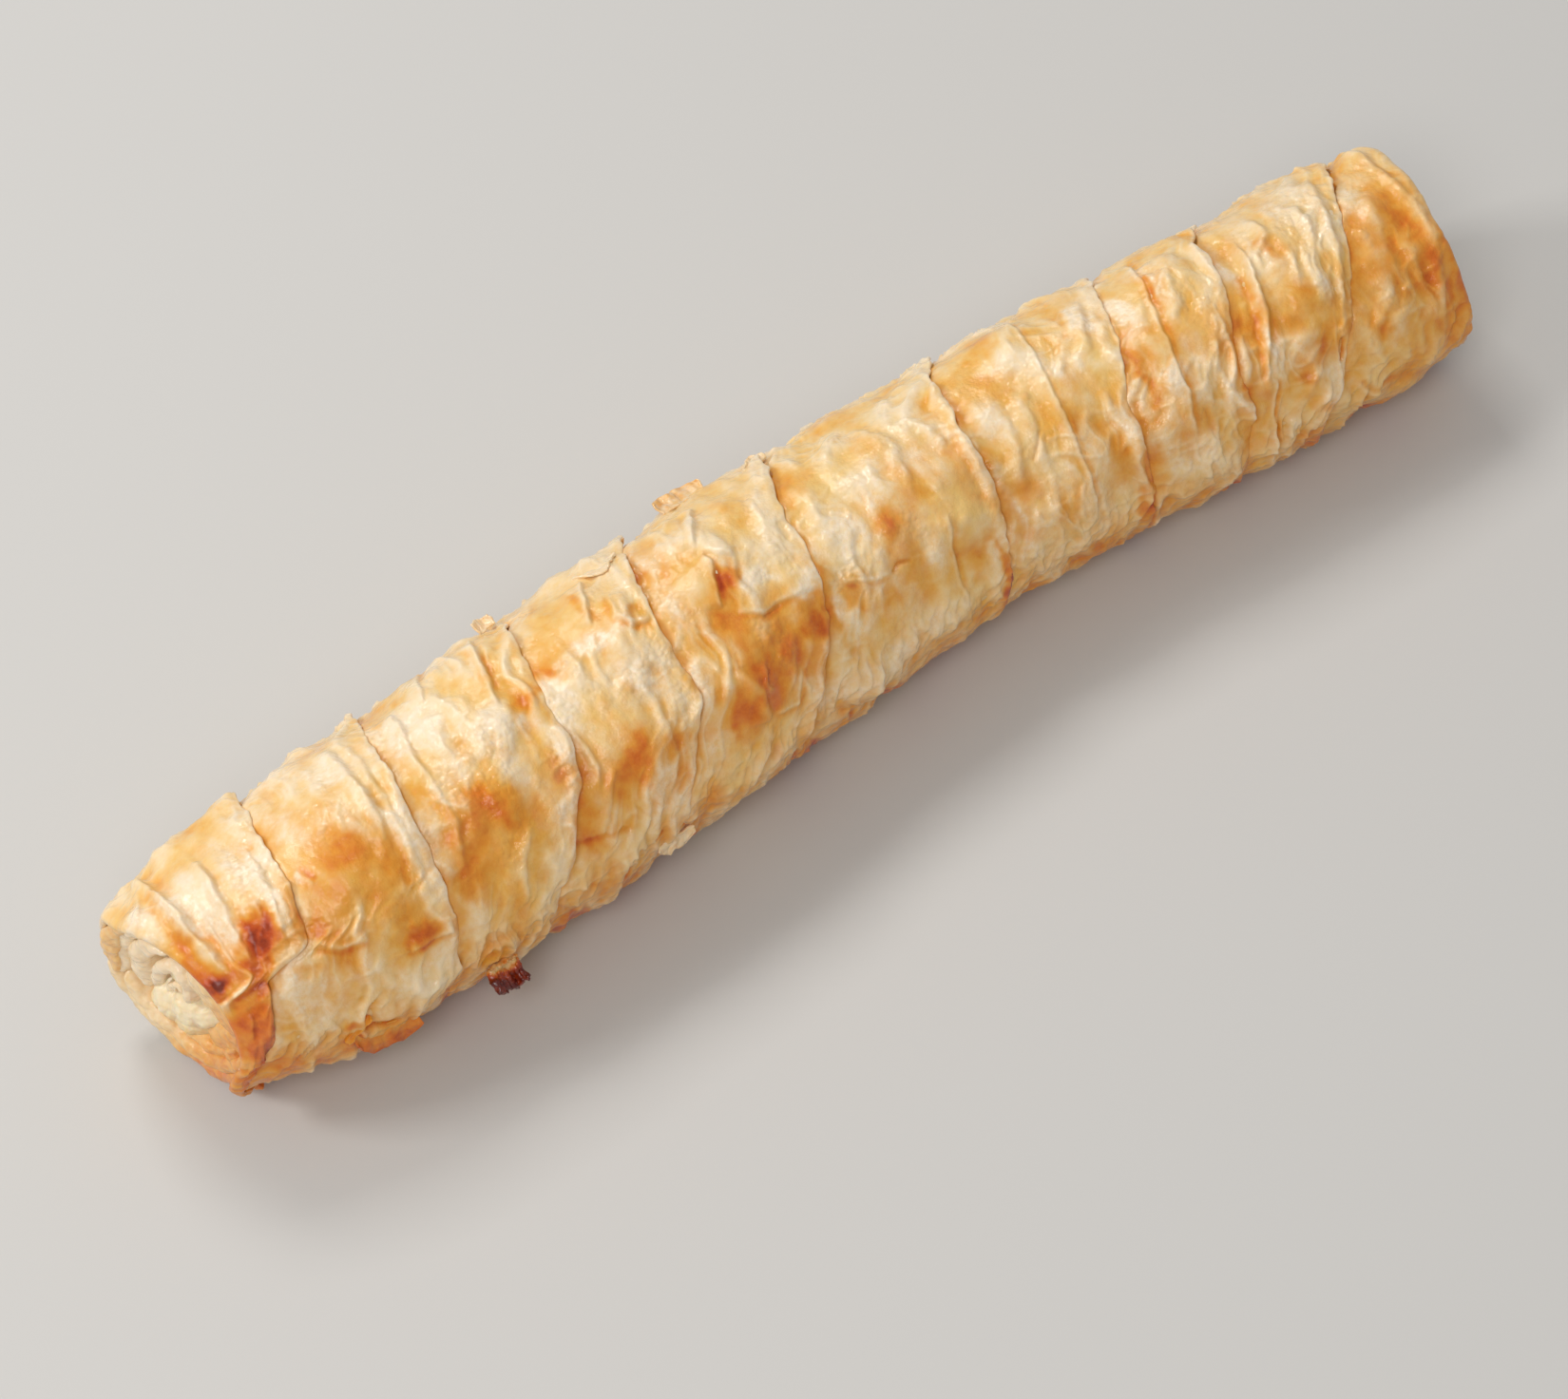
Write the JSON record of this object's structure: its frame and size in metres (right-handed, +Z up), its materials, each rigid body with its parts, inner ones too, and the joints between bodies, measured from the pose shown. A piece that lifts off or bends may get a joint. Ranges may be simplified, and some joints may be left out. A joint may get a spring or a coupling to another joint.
{
  "type": "rolled borek",
  "caption": "Long baked roll of thin yufka dough wound in a slanting helix of overlapping turns round a white cheese filling, open at both ends.",
  "frame": {"origin": "under the middle of the bounding box, on the plane that the roll rests on", "axes": "+X along the roll, from the narrower open end with the browned collar to the far end; +Z up; -Y is the side that the free edges of the turns slant down"},
  "size_m": [0.2766, 0.0554, 0.0504],
  "materials": {
    "baked_yufka": "oiled, blistered thin dough, golden brown on its raised folds and pale cream low on its sides",
    "cheese_filling": "moist, crumbly white cheese between soft curls of dough"
  },
  "bodies": {
    "root": {"pastry_roll": "baked_yufka", "cheese_filling": "cheese_filling"}
  },
  "joints": []
}
